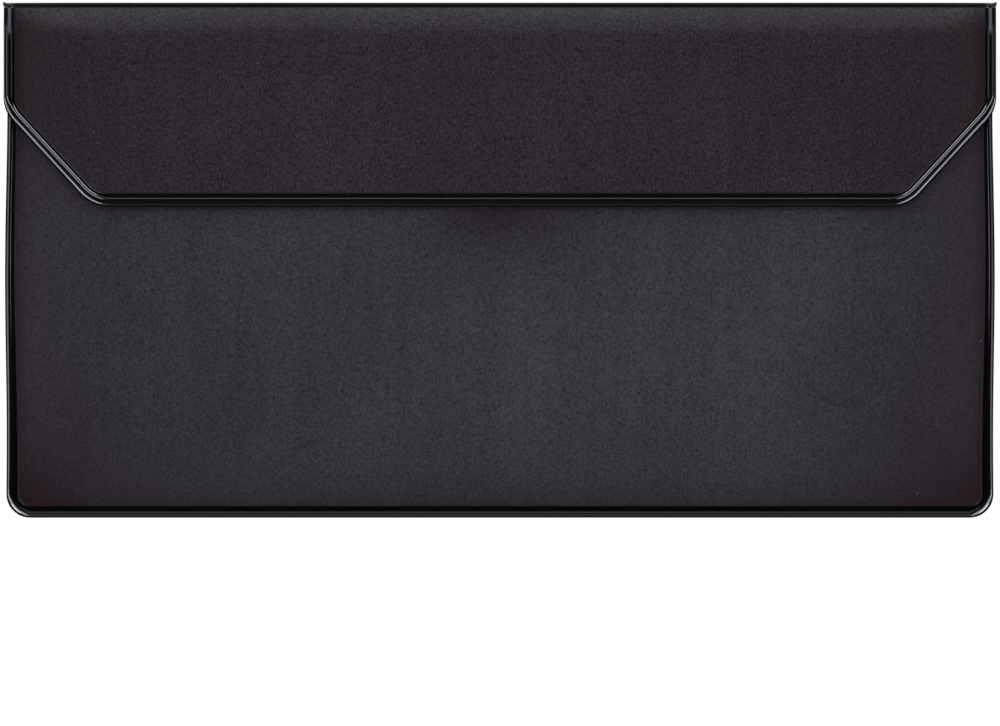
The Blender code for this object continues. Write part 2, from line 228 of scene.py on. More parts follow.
class WeldSizes(PropertyGroup):
    """Sizes of the two welds' sections."""

    bead_inset: in_mm("Bead inset", "From the body's edge to the bead's top", 1.04)
    bead_outer: in_mm("Bead outer side", "Width of the bead's outer side", 0.70)
    corner_widening: in_mm(
        "Corner widening", "How much wider that side and its rim each are in the bottom corners", 0.20
    )
    bead_peak: plain("Bead peak", "Share of that side's fall, along the bottom, that has no level start", 0.8)
    bead_inner: in_mm("Bead inner side", "Width of the bead's inner side", 0.40)
    bead_slope: in_degrees("Bead slope", "Slope of the outer side at its foot", 44)
    bead_foot_slope: in_degrees("Low bead slope", "The same along the bottom and low on the sides", 30)
    bead_low_slope: in_degrees("Low inner slope", "Slope of the inner side along the bottom", 7.5)
    bead_high_slope: in_degrees("High inner slope", "Slope of the inner side beside the flap", 42)
    body_weld_width: in_mm("Body weld width", "Bead and groove together", 2.30)
    bottom_groove: in_mm("Bottom groove", "How much wider the body's groove is along the bottom", 0.55)
    web_share: plain("Web share", "Share of the stack left under the body's groove", 0.36)
    rim_width: in_mm("Rim width", "Level rim outside the flap's lip", 0.24)
    cut_rim: in_mm("Cut rim", "How much wider that rim is along the cut corners", 0.24)
    lip_inset: in_mm("Lip inset", "From the flap's edge to the top of its lip", 0.70)
    lip_flat: in_mm("Lip flat", "Width of the lip's level top", 0.08)
    lip_height: in_mm("Lip height", "Top of the lip over the flap's underside", 0.66)
    lip_angle: in_degrees("Lip angle", "Slope of the lip's side halfway down", 26)
    lip_bow: in_degrees("Lip bow", "How much that slope grows from top to foot", 24)
    ridge_inset: in_mm("Ridge inset", "From the flap's edge to the ridge's middle", 1.88)
    ridge_flat: in_mm("Ridge flat", "Half width of the ridge's top", 0.13)
    ridge_widening: in_mm("Ridge widening", "How much wider that half is down the flap's sides", 0.33)
    ridge_shift: in_mm("Ridge shift", "How much nearer the edge its middle is there", 0.48)
    side_lip: plain("Side lip", "Share of the lip's width that is left there", 0.55)
    ridge_height: in_mm("Ridge height", "Top of the ridge over the flap's underside", 0.95)
    side_width: in_mm("Side width", "Width of each sloping side of the ridge", 0.20)
    side_angle: in_degrees("Side angle", "Slope of such a side halfway down", 28)
    side_bow: in_degrees("Side bow", "How much that slope grows from top to foot", 8)
    valley_height: in_mm("Valley height", "Bottom of the valley and the groove", 0.36)
    valley_slant: in_degrees("Valley slant", "How steeply both fall inwards", 18)
    lower_groove: in_mm("Lower groove", "How much wider the groove is along the lower edge", 0.50)
    flap_weld_width: in_mm("Flap weld width", "From the flap's edge to its sheet", 2.80)
    underside_depth: in_mm("Underside depth", "Depth of the two channels under the flap's weld", 0.10)
    crease_depth: in_mm("Crease depth", "Depth of the line pressed along the fold", 0.32)
    crease_inset: in_mm("Crease inset", "From the fold to that line", 1.00)
    crease_width: in_mm("Crease width", "Half width of that line", 0.26)
    edge_drop: in_mm("Edge drop", "How far a sheet rolls down into its weld", 0.62)
    edge_roll: in_mm("Edge roll", "Width of that roll", 0.60)


class VinylFinish(PropertyGroup):
    """Colours and grain of the vinyl."""

    # bare: the brownish black, which also stands for painted shade; hazed: partly handling haze, partly painted sheen
    bare_colour: in_hex("Bare vinyl", "The vinyl where nothing has rubbed it", "#1b0a10")
    sheen_and_haze_colour: in_hex("Hazed vinyl", "The vinyl where handling has dulled it", "#363439")
    lining_colour: in_hex("Lining", "Lining sheet", "#232125")
    weld_colour: in_hex("Weld", "Melted vinyl", "#060405")
    grain_width: in_mm("Grain width", "Width of an embossed cell", 0.50)
    grain_length: in_mm("Grain length", "Length of an embossed cell", 0.76)
    grain_depth: in_mm("Grain depth", "Depth of the emboss", 0.06)


class StudioLight(PropertyGroup):
    """Levels of the light."""

    upper: plain("Upper boxes", "The two boxes past the fold's ends", 3.7)
    lower: plain("Lower boxes", "The two boxes past the bottom corners", 2.6)
    corner: plain("Corner boxes", "The two low boxes past the bottom corners", 9.0)
    left: plain("Left box", "The box on the left", 1.2)
    right: plain("Right box", "The box on the right", 0.7)
    far: plain("Far box", "The low box past the fold", 1.5)
    overhead: plain("Overhead box", "The box above the fold", 1.1)
    fill: plain("Back fill", "The box past the middle of the fold", 0.4)
    front_fill: plain("Front fill", "The box past the middle of the bottom", 0.25)
    room: plain("Room", "The room around", 0.012)


def rounded_rise(distance):
    """From 0 at a weld to 1 where the ramp ends: 1 less the square of the share of the ramp that is left.

    The distance is first softened to sqrt(d ** 2 + c ** 2) - c, so that the ramp starts level.
    """
    inside = np.clip(distance, 0, SWELL_RAMP)
    softened = np.hypot(inside, RAMP_START) - RAMP_START
    left = 1 - softened / (math.hypot(SWELL_RAMP, RAMP_START) - RAMP_START)
    return 1 - left * left


def swell(x, y):
    """Rise of the front: the swell's height times the rise from the sides and the bottom, plus slow waves.

    The waves are three crossing sines, with wavelengths of 100 to 180 mm, that die out with the rise at the welds.
    """
    rise = rounded_rise(PANEL_SIDE - np.abs(x)) * rounded_rise(y - PANEL_BOTTOM)
    across, along = x / WAVE_ACROSS, y / WAVE_ALONG
    waves = sum(np.sin(a * across + b * along + phase) for a, b, phase in WAVES)
    return rise * (SWELL + WAVE_HEIGHT * waves)


def roll(y):
    """How far the flap has rolled down towards the fold: the square of the share from the mouth to the crease."""
    share = np.clip((y - MOUTH_Y) / (CREASE_Y - MOUTH_Y), 0, 1)
    return share * share


def under_flap(x, y):
    """Height of the flap's underside.

    It is the front's rise, which the roll lowers to its share at the fold. At both ends, where there is nothing under
    it, the roll lowers it by the droop.
    """
    droop = DROOP * (1 - rounded_rise(PANEL_SIDE - np.abs(x)))
    return FLAP_Z + swell(x, y) * (1 - roll(y) * (1 - FOLD_SWELL / SWELL)) - droop * roll(y)


def edge_stack(y):
    """Thickness of the body's edge: four plies beside the pocket, thinning to two past the mouth."""
    return FOUR_PLIES - (FOUR_PLIES - TWO_PLIES) * np.clip((y - MOUTH_Y) / STACK_RUNOUT, 0, 1)


def ease(share):
    """From 0 to 1 without a corner at either end: 3 u ** 2 - 2 u ** 3."""
    share = np.clip(share, 0, 1)
    return share * share * (3 - 2 * share)


def crest(across, centre, half, squareness):
    """A round crest, 1 at its centre and 0 past its half width: (1 - u ** n) ** (1 / n)."""
    share = np.clip(np.abs(across - centre) / half, 0, 1)
    return (1 - share ** squareness) ** (1 / squareness)


def crease(y, sizes):
    """Depth of the line pressed along the fold: a bell curve about the line."""
    away = (y - (FOLD_Y - sizes.crease_inset)) / sizes.crease_width
    return sizes.crease_depth * np.exp(-away * away)


def edge_fall(distance, sizes):
    """How far a sheet has dropped towards its weld: a quarter ellipse over the width of the roll."""
    left = 1 - np.clip(distance / sizes.edge_roll, 0, 1)
    return sizes.edge_drop * (1 - np.sqrt(1 - left * left))


def mirrored(half):
    """An open outline, as (x, y, radius): these corners down the left, and up the right in reverse."""
    return [(-x, y, radius) for x, y, radius in half] + half[::-1]


def body_corners(top):
    """The body's outline: down the left, along the bottom and up the right."""
    return mirrored([(HALF_WIDTH, top, 0.0), (HALF_WIDTH, BOTTOM_Y, BODY_CORNER_RADIUS)])


def flap_corners(top):
    """The flap's outline, in the same direction, with a cut corner on each side."""
    foot, cut = FLAP_HALF_WIDTH - FLAP_CUT_WIDTH, FOLD_Y - FLAP_SIDE_DEPTH
    return mirrored([
        (FLAP_HALF_WIDTH, top, 0.0), (FLAP_HALF_WIDTH, cut, FLAP_SIDE_RADIUS), (foot, FLAP_LOWER_Y, FLAP_FOOT_RADIUS)
    ])


def straight_run(start, end, left, last):
    """Points of a straight run and the direction to its left at each. Only the last run keeps its end point."""
    count = math.ceil(np.linalg.norm(end - start) / ROW_SPACING) + last
    share = np.linspace(0, 1, count, endpoint=last)[:, None]
    return start + share * (end - start), np.tile(left, (count, 1))


def rounded_path(corners):
    """Points along an open line with rounded corners, and the direction to the left of the line at each.

    A straight run is start + share * (end - start), and a corner is its arc's centre less the radius times the
    left-hand direction, turned through the corner.
    """
    places = np.array(corners)[:, :2]
    runs, start = [], places[0]
    for before, here, after, corner in zip(places, places[1:], places[2:], corners[1:]):
        along = (here - before) / np.linalg.norm(here - before)
        onward = (after - here) / np.linalg.norm(after - here)
        turn = math.atan2(along[0] * onward[1] - along[1] * onward[0], along @ onward)
        reach = corner[2] * math.tan(turn / 2)
        left = np.array([-along[1], along[0]])
        end = here - along * reach
        runs.append(straight_run(start, end, left, False))
        angle = np.linspace(0, turn, ARC_STEPS, endpoint=False)
        cos, sin = np.cos(angle), np.sin(angle)
        turned = np.stack([left[0] * cos - left[1] * sin, left[0] * sin + left[1] * cos], axis=1)
        runs.append((end + left * corner[2] - turned * corner[2], turned))
        start = here + onward * reach
    runs.append(straight_run(start, places[-1], np.array([-onward[1], onward[0]]), True))
    return [np.concatenate([run[i] for run in runs]) for i in (0, 1)]


def edge_distance(x, y, corners, inset):
    """How far each point lies inside a rounded outline that is inset from its path, the top edge left out.

    It is the least distance to a straight edge, and at a corner the radius less the distance from its centre.
    """
    half = [corner for corner in corners if corner[0] > 0][::-1] + [(0.0, corners[len(corners) // 2][1], 0.0)]
    places = np.array(half)[:, :2]
    runs = places[1:] - places[:-1]
    runs /= np.linalg.norm(runs, axis=1)[:, None]
    inward = np.stack([runs[:, 1], -runs[:, 0]], axis=1)
    point = np.stack([np.abs(x), y], axis=-1)
    edges = [(point - place) @ normal for place, normal in zip(places, inward)]
    least = np.minimum.reduce(edges)
    for i in range(1, len(half) - 1):
        radius = half[i][2]
        centre = places[i] + radius * (inward[i - 1] + inward[i]) / (1 + inward[i - 1] @ inward[i])
        out = point - centre
        in_corner = (out @ runs[i - 1] > 0) & (out @ -runs[i] > 0)
        least = np.where(in_corner, radius - np.linalg.norm(out, axis=-1), least)
    return least - inset


def steps_from_edge(length):
    """Distances from an edge up to a length, each step a fixed ratio wider than the one before."""
    count = math.ceil(math.log(1 + length * (STEP_GROWTH - 1) / LEAST_STEP) / math.log(STEP_GROWTH))
    steps = STEP_GROWTH ** np.arange(count + 1) - 1
    return length * steps / steps[-1]


def columns(half):
    """X of every column in rows of these half widths: fine near both edges, and even between."""
    edge = half[:, None] - steps_from_edge(EDGE_ZONE)
    middle = (half - EDGE_ZONE)[:, None] * np.linspace(-1, 1, MIDDLE_COLUMNS)[1:-1]
    return np.concatenate([-edge, middle, edge[:, ::-1]], axis=1)


def sheet_grid(corners, inset):
    """X, Y and distance from the outline at every point of a sheet's grid, in rows from its lower edge up.

    The rows run through the outline's own points and get finer towards both ends. The half width of a row is
    read off the inset outline between its points.
    """
    points, lefts = rounded_path(corners)
    first = np.flatnonzero(np.abs(lefts[:, 0]) < 1e-9)[-1]
    outline = (points + lefts * inset)[first:]
    low, high = outline[0, 1], outline[-1, 1]
    steps = steps_from_edge(EDGE_ZONE)
    rows = np.unique(np.concatenate([outline[:, 1], low + steps, high - steps]).round(8))
    half = np.interp(rows, outline[:, 1], outline[:, 0])
    x = columns(half)
    y = np.broadcast_to(rows[:, None], x.shape)
    return x, y, edge_distance(x, y, corners, inset)


def fold_surface(x, angle, depth):
    """Y and Z on the fold, this deep under its outer face: half a squared ellipse about the fold's middle height.

    Y is the crease plus the reach times cos ** p, and Z is half the top plus the half height times sin ** p.
    """
    top = under_flap(x, CREASE_Y) + TWO_PLIES
    power = 2 / FOLD_SQUARENESS
    y = CREASE_Y + (CREASE_INSET - depth) * np.clip(np.cos(angle), 0, 1) ** power
    z = top / 2 + (top / 2 - depth) * np.sign(np.sin(angle)) * np.abs(np.sin(angle)) ** power
    return y, z


def fold_angles():
    """Angles from the back's crease to the flap's, spaced so that the squared ellipse gets even steps."""
    share = np.linspace(-1, 1, FOLD_ROWS)
    power = FOLD_SQUARENESS / 2
    near, far = np.abs(share) ** power, (1 - np.abs(share)) ** power
    return math.pi / 2 * np.sign(share) * near / (near + far)


def grid_faces(rows, across, closed=False):
    """The four corners of every cell of a grid of points, as indices."""
    row = np.arange(rows - 1)[:, None] * across
    column = np.arange(across if closed else across - 1)[None, :]
    following = (column + 1) % across
    corners = [row + column, row + following, row + following + across, row + column + across]
    return np.stack(corners, axis=-1).reshape(-1, 4)


def outward(points, faces):
    """The faces, turned over if the volume that they close, a sum of triple products, is negative."""
    a, b, c, d = (points[faces[:, i]] for i in range(4))
    volume = np.einsum("ij,ij->", a, np.cross(b, c)) + np.einsum("ij,ij->", a, np.cross(c, d))
    return faces[:, ::-1] if volume < 0 else faces


def add_piece(name, points, faces, caps, finish, wear=None):
    """Put points and faces into a new object that wears a finish. wear holds attributes from 0 to 1 at each point."""
    mesh = bpy.data.meshes.new(name)
    mesh.from_pydata(points.tolist(), [], faces.tolist() + caps)
    for attribute, share in (wear or {}).items():
        mesh.attributes.new(attribute, "FLOAT", "POINT").data.foreach_set("value", share)
    mesh.materials.append(finish)
    mesh.shade_smooth()
    mesh.set_sharp_from_angle(angle=SHARP_EDGE)
    made = bpy.data.objects.new(name, mesh)
    bpy.context.scene.collection.objects.link(made)
    return made


def add_sheet(name, kind, outer, inner, pressed, sheen_and_haze):
    """A closed sheet between two grids of points: both faces, and a rim of cells round the edge."""
    rows, across = outer.shape[:2]
    points = np.concatenate([outer.reshape(-1, 3), inner.reshape(-1, 3)])
    cells = grid_faces(rows, across)
    index = np.arange(rows * across).reshape(rows, across)
    rim = np.concatenate([index[0, :-1], index[:-1, -1], index[-1, :0:-1], index[:0:-1, 0]])
    following = np.roll(rim, -1)
    offset = rows * across
    sides = np.stack([rim + offset, following + offset, following, rim], axis=1)
    faces = outward(points, np.concatenate([cells, cells[:, ::-1] + offset, sides]))
    wear = {"pressed": np.tile(pressed.ravel(), 2), "sheen_and_haze": np.tile(sheen_and_haze.ravel(), 2)}
    return add_piece(name, points, faces, [], finish_of(kind), wear)


def add_bar(name, rings):
    """A closed bar of melted vinyl through rings of points, with a cap at both ends."""
    count, around = rings.shape[:2]
    points = rings.reshape(-1, 3)
    faces = grid_faces(count, around, closed=True)
    turned = outward(points, faces)
    first = list(range(around))
    last = [i + (count - 1) * around for i in range(around)]
    caps = [first[::-1], last] if turned is faces else [first, last[::-1]]
    return add_piece(name, points, turned, caps, finish_of(WELD))


def grid_points(x, y, z):
    """Three arrays of one shape as points."""
    return np.stack(np.broadcast_arrays(x, y, z), axis=-1)


def body_points(x, y, z):
    """The same for the body, whose sides bow out at mid height and draw in near the bottom.

    At s of the height from the bottom to the crease, a side moves out by the bow times k sin 2 pi s - sin 3 pi s.
    """
    turn = math.pi * (y - BOTTOM_Y) / (CREASE_Y - BOTTOM_Y)
    return grid_points(x * (1 + SIDE_BOW / HALF_WIDTH * (BOW_LEAN * np.sin(2 * turn) - np.sin(3 * turn))), y, z)


def join_runs(runs, count):
    """The runs of a section, each as distance in from the edge and height, joined for this many places."""
    return [
        np.concatenate([np.broadcast_to(run[i], (count, run[i].shape[-1])) for run in runs], axis=1) for i in (0, 1)
    ]


def connect(node, inputs):
    """Feed these inputs of a node, each from another node's output or with a value."""
    for socket, source in inputs.items():
        if isinstance(source, bpy.types.NodeSocket):
            node.id_data.links.new(source, node.inputs[socket])
        else:
            node.inputs[socket].default_value = source


def add_node(tree, kind, output, inputs, **settings):
    """This output of a new node with these inputs and settings."""
    made = tree.nodes.new("ShaderNode" + kind)
    for name, value in settings.items():
        setattr(made, name, value)
    connect(made, inputs)
    return made.outputs[output]


def new_material(name, inputs):
    """A material, its Principled shader with these inputs, and add_node for its tree.

    Vinyl bends light as most plastics do.
    """
    made = bpy.data.materials.new(name)
    made.use_nodes = True
    shader = made.node_tree.nodes["Principled BSDF"]
    connect(shader, {"IOR": VINYL_IOR, **inputs})
    return made, shader, partial(add_node, made.node_tree)


def embossed_vinyl(kind, finish):
    """Calendered PVC sheet, embossed with a fine leather grain by a hot roller.

    The grain breaks a soft satin sheen into small upright creases, with painted shade in the creases and lighter skin
    between them. A lighter bluish tint, partly a haze from handling and partly painted sheen, lies on the swollen
    parts and drifts in patches and faint upright streaks. Towards the welds, in the bottom corners and below the
    flap's edge it gives way to the brownish black, as painted shade. A few dust specks lie on it. Where a hot bar has
    pressed it, the grain is gone and the vinyl is smooth and glossy; its darker colour there is painted shade.
    """
    made, shader, add = new_material(kind, {"Specular IOR Level": 0.15})
    contrast, cell = GRAINS[kind]
    sheen_and_haze_tint = finish.lining_colour if kind == LINING else finish.sheen_and_haze_colour
    place = add("TexCoord", "Object", {})
    across, along = finish.grain_width * cell, finish.grain_length * cell
    grain_place = add("Mapping", "Vector", {"Vector": place, "Scale": (1 / across, 1 / along, 1 / across)})
    skin = add(
        "TexNoise", "Fac", {"Vector": grain_place, "Scale": 1.0, "Detail": 1.5, "Roughness": 0.6, "Distortion": 0.5}
    )
    creases = add("TexVoronoi", "Distance", {"Vector": grain_place, "Scale": 0.8}, feature="DISTANCE_TO_EDGE")
    cells = add("MapRange", "Result", {"Value": creases, "From Max": 0.25, "To Max": 0.16})
    relief = add("Math", 0, {0: skin, 1: cells}, operation="ADD")
    pressed = add("Attribute", "Fac", {}, attribute_name="pressed")
    grain_left = add("Math", 0, {0: 1.0, 1: pressed}, operation="SUBTRACT")
    depth = finish.grain_depth * cell
    normal = add("Bump", "Normal", {"Height": relief, "Strength": grain_left, "Distance": depth})

    broad = add("TexNoise", "Fac", {"Vector": place, "Scale": 1 / HAZE_PATCH, "Detail": 3.0, "Roughness": 0.55})
    streak_place = add("Mapping", "Vector", {"Vector": place, "Scale": [1 / size for size in SCUFF]})
    streaks = add("TexNoise", "Fac", {"Vector": streak_place, "Scale": 1.0, "Detail": 2.0})
    drift = add("Math", 0, {0: streaks, 1: SCUFF_SHARE, 2: broad}, operation="MULTIPLY_ADD")
    patchy = add(
        "MapRange", "Result", {"Value": drift, "From Min": 0.45, "From Max": 0.95, "To Min": 0.76, "To Max": 1.20}
    )
    sheen_and_haze = add("Attribute", "Fac", {}, attribute_name="sheen_and_haze")
    # lighter tint, partly handling haze and partly painted sheen; where it is low, painted shade
    haze = add("Math", 0, {0: sheen_and_haze, 1: patchy}, operation="MULTIPLY")
    mix = {MIX_FACTOR: haze, MIX_A: (*finish.bare_colour, 1), MIX_B: (*sheen_and_haze_tint, 1)}
    tint = add("Mix", MIX_RESULT, mix, data_type="RGBA", clamp_factor=False)
    # painted shade in the grain's creases, and lighter skin between them
    span = {"From Min": 0.36, "From Max": 0.86, "To Min": 1 - contrast, "To Max": 1 + contrast}
    shade = add("MapRange", "Result", {"Value": relief, **span}, clamp=False)
    mix = {MIX_FACTOR: 1.0, MIX_A: tint, MIX_B: shade}
    grained = add("Mix", MIX_RESULT, mix, data_type="RGBA", blend_type="MULTIPLY")
    dust = add("TexVoronoi", "Distance", {"Vector": place, "Scale": 1 / DUST_SPACING})
    speck = add("MapRange", "Result", {"Value": dust, "From Min": 0.026, "From Max": 0.014})
    mix = {MIX_FACTOR: speck, MIX_A: grained, MIX_B: linear(DUST_COLOUR)}
    dusted = add("Mix", MIX_RESULT, mix, data_type="RGBA")
    # pressed places take the weld's black: painted shade in the fold's line and strip and on the roll into the weld
    mix = {MIX_FACTOR: pressed, MIX_A: dusted, MIX_B: (*finish.weld_colour, 1)}
    shaded_where_pressed = add("Mix", MIX_RESULT, mix, data_type="RGBA")
    gloss = add("MapRange", "Result", {"Value": pressed, "To Min": 0.46, "To Max": 0.26})
    connect(shader, {"Base Color": shaded_where_pressed, "Roughness": gloss, "Normal": normal})
    return made


def melted_vinyl(finish):
    """PVC that a high-frequency welding bar has melted and squeezed out.

    It has no grain left: it is near black and glossy, so it shows thin bright lines from the lamps along its crests
    and hardly anything between them. It is slightly wavy where it set, which makes those lines swell and thin.
    """
    made, shader, add = new_material(WELD, {"Specular IOR Level": 1.0, "Coat Weight": 0.8, "Coat Roughness": 0.08})
    place = add("TexCoord", "Object", {})
    waves = add("TexNoise", "Fac", {"Vector": place, "Scale": 1 / SET_WAVE, "Detail": 2.0, "Roughness": 0.4})
    normal = add("Bump", "Normal", {"Height": waves, "Distance": SET_WAVE_DEPTH})
    patches = add("TexNoise", "Fac", {"Vector": place, "Scale": 1 / GLOSS_PATCH, "Detail": 4.0})
    gloss = add("MapRange", "Result", {"Value": patches, "To Min": 0.10, "To Max": 0.17})
    darker, lighter = ((*[part * share for part in finish.weld_colour], 1) for share in WELD_SHADES)
    tint = add("Mix", MIX_RESULT, {MIX_FACTOR: patches, MIX_A: darker, MIX_B: lighter}, data_type="RGBA")
    connect(shader, {"Base Color": tint, "Roughness": gloss, "Normal": normal})
    return made


def finish_of(kind):
    """The material of this kind, made when it is first asked for."""
    made = bpy.data.materials.get(kind)
    if made:
        return made
    finish = bpy.context.scene.pouch_finish
    return melted_vinyl(finish) if kind == WELD else embossed_vinyl(kind, finish)


def seat(piece, body, node):
    """Let a piece ride on a body and stand for its CAD node."""
    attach(piece, body)
    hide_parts(node)


def bend_over_fold(piece, node):
    """Fix a piece's place into its mesh and let it stand for its CAD node.
    """
    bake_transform(piece)
    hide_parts(node)


def lay_sheet(name, x, y, outer, inner, pressed, sheen_and_haze):
    """Lay one of the sheets between two heights on a grid.
    """
    body, node, kind, held, rests_on = SHEETS[name]
    points = body_points if body == "pouch" else grid_points
    piece = add_sheet(name, kind, points(x, y, outer), points(x, y, inner), pressed, sheen_and_haze)
    seat(piece, body, node)


def pressed_and_shaded_near(distance, sizes):
    """How far the hot bar has pressed a sheet smooth, with painted shade on its roll into the weld: all at its edge,
    and none most of a roll's width in.
    """
    return np.clip(PRESSED_START - distance / (PRESSED_RUN * sizes.edge_roll), 0, 1)


def pressed_and_shaded_crease(y, sizes):
    """The same for the line along the fold, and for most of the strip past it, as painted shade along the fold's
    outline.
    """
    return np.maximum(crease(y, sizes) / sizes.crease_depth, PRESSED_AND_SHADED_STRIP * (y > FOLD_Y - sizes.crease_inset))


def edge_shade_share(distance, most, run):
    """The share of the lighter tint left near an edge, where painted shade takes the rest: 1 - k exp(-d / run)."""
    return 1 - most * np.exp(-np.maximum(distance - EDGE_SHADE_START, 0) / run)


def front_sheen_and_shade(x, y):
    """How much of the lighter tint the front and the back have: partly handling haze, partly painted sheen.

    It falls off towards the welds as painted shade, over a longer run to the sides, and more so in the two bottom
    corners, where a bell curve takes most of it.
    """
    side, bottom = HALF_WIDTH - np.abs(x), y - BOTTOM_Y
    corner = np.exp(-(side ** 2 + bottom ** 2) / CORNER_SHADE_RUN ** 2)
    edges = edge_shade_share(side, SIDE_SHADE, SIDE_SHADE_RUN) * edge_shade_share(bottom, BOTTOM_SHADE, BOTTOM_SHADE_RUN)
    return edges * (1 - CORNER_SHADE * corner)


def flap_sheen_and_haze(x, y):
    """The same for the flap, which is handled less: half of it in the middle, less to its sides as painted shade.

    The roll by the fold gets more of it, as a painted highlight.
    """
    edges = edge_shade_share(FLAP_HALF_WIDTH - np.abs(x), FLAP_SIDE_SHADE, FLAP_SIDE_SHADE_RUN)
    return FLAP_SHEEN_AND_HAZE * edges + ROLL_SHEEN * roll(y) ** ROLL_SHEEN_POWER


class POUCH_OT_stage(Operator):
    """Set the floor, the room, the lamps and the camera"""

    bl_idname = "pouch.stage"
    bl_label = "Stage"

    def execute(self, context):
        light = context.scene.pouch_light
        context.scene.view_settings.view_transform = "Standard"
        self.add_floor()
        self.add_room(light.room)
        # Each lamp's azimuth, zenith angle, width and height in degrees, its level and its colour
        for mirror in (-1, 1):
            self.add_lamp(90 + mirror * 35, 58, 40, 30, light.upper, "#fdfbff")
            self.add_lamp(270 + mirror * 56, 58, 50, 34, light.lower, "#f1f6ff")
            self.add_lamp(270 + mirror * 45, 78, 30, 14, light.corner, "#dfe9ff")
        self.add_lamp(180, 64, 20, 26, light.left, "#eaf0ff")
        self.add_lamp(0, 64, 20, 26, light.right, "#eaf0ff")
        self.add_lamp(90, 81, 60, 16, light.far, "#f4f5ff")
        self.add_lamp(90, 19, 16, 22, light.overhead, "#e4ecff")
        self.add_lamp(90, 54, 20, 24, light.fill, "#f6f4f6")
        self.add_lamp(270, 36, 30, 20, light.front_fill, "#f8f2f2")
        self.add_camera()
        return {"FINISHED"}

    def add_floor(self):
        """A plain floor that looks white to the camera and in reflections, and keeps the object's shadow."""
        made = bpy.data.materials.new("painted_floor")
        made.use_nodes = True
        tree = made.node_tree
        tree.nodes.clear()
        add = partial(add_node, tree)
        path = add("LightPath", 0, {}).node.outputs
        seen = add("Math", 0, {0: path["Is Camera Ray"], 1: path["Is Glossy Ray"]}, operation="ADD")
        shown = add("Math", 0, {0: seen, 1: path["Is Transmission Ray"]}, operation="ADD", use_clamp=True)
        glow = add("Math", 0, {0: shown, 1: FLOOR_GLOW}, operation="MULTIPLY")
        paint = add("BsdfDiffuse", 0, {"Color": (FLOOR_GREY, FLOOR_GREY, FLOOR_GREY, 1)})
        white = add("Emission", 0, {"Strength": glow})
        both = add("AddShader", 0, {0: paint, 1: white})
        connect(tree.nodes.new("ShaderNodeOutputMaterial"), {"Surface": both})
        corners = np.array([(-1, -1, 0), (1, -1, 0), (1, 1, 0), (-1, 1, 0)]) * FLOOR_HALF
        floor = add_piece("floor", corners, np.array([[0, 1, 2, 3]]), [], made)

    def add_room(self, strength):
        """Dim even light from all round."""
        world = bpy.data.worlds.new("room")
        world.use_nodes = True
        background = world.node_tree.nodes["Background"]
        background.inputs["Color"].default_value = linear("#f2f4ff")
        background.inputs["Strength"].default_value = strength
        bpy.context.scene.world = world

    def add_lamp(self, azimuth, zenith, across, up, radiance, code):
        """A soft box aimed at the pouch. Its place and its size are in degrees as the pouch sees them.

        A side is twice the distance times the tangent of half its angle. The power, pi times radiance times area,
        gives it this radiance.
        """
        turn, tilt = math.radians(azimuth), math.radians(zenith)
        data = bpy.data.lights.new("soft_box", "AREA")
        data.shape = "RECTANGLE"
        data.size, data.size_y = (2 * LAMP_DISTANCE * math.tan(math.radians(angle) / 2) for angle in (across, up))
        data.energy = math.pi * radiance * data.size * data.size_y
        data.color = linear(code)[:3]
        lamp = bpy.data.objects.new("soft_box", data)
        aim = (math.sin(tilt) * math.cos(turn), math.sin(tilt) * math.sin(turn), math.cos(tilt))
        lamp.location = [LAMP_DISTANCE * part for part in aim]
        lamp.rotation_euler = (tilt, 0, turn + math.pi / 2)
        lamp.visible_camera = False
        bpy.context.scene.collection.objects.link(lamp)

    def add_camera(self):
        """A long lens straight above, with the object where the photo has it."""
        data = bpy.data.cameras.new("camera")
        data.lens = LENS
        data.sensor_width = SENSOR
        camera = bpy.data.objects.new("camera", data)
        away = PHOTO_WIDTH * PIXEL * LENS / SENSOR
        camera.location = (
            (PHOTO_WIDTH / 2 - OBJECT_CENTRE_PX[0]) * PIXEL,
            (OBJECT_CENTRE_PX[1] - PHOTO_HEIGHT / 2) * PIXEL,
            away + FLAP_Z,
        )
        bpy.context.scene.collection.objects.link(camera)
        bpy.context.scene.camera = camera


class POUCH_OT_back(Operator):
    """Lay the back of the cover and its lining"""

    bl_idname = "pouch.back"
    bl_label = "Back"

    def execute(self, context):
        sizes = context.scene.pouch_sizes
        inset = sizes.body_weld_width - OVERLAP
        x, y, distance = sheet_grid(body_corners(CREASE_Y), inset)
        outer = edge_fall(distance, sizes) / 2 + crease(y, sizes)
        inner = np.maximum(COVER_THICKNESS, outer + SKIN)
        pressed = np.maximum(pressed_and_shaded_near(distance, sizes), pressed_and_shaded_crease(y, sizes))
        sheen_and_haze = front_sheen_and_shade(x, y)
        lay_sheet("back_sheet", x, y, outer, inner, pressed, sheen_and_haze)
        top = np.full_like(x, TWO_PLIES)
        lay_sheet("back_lining_sheet", x, y, top, top - LINING_THICKNESS, distance * 0, sheen_and_haze)
        return {"FINISHED"}


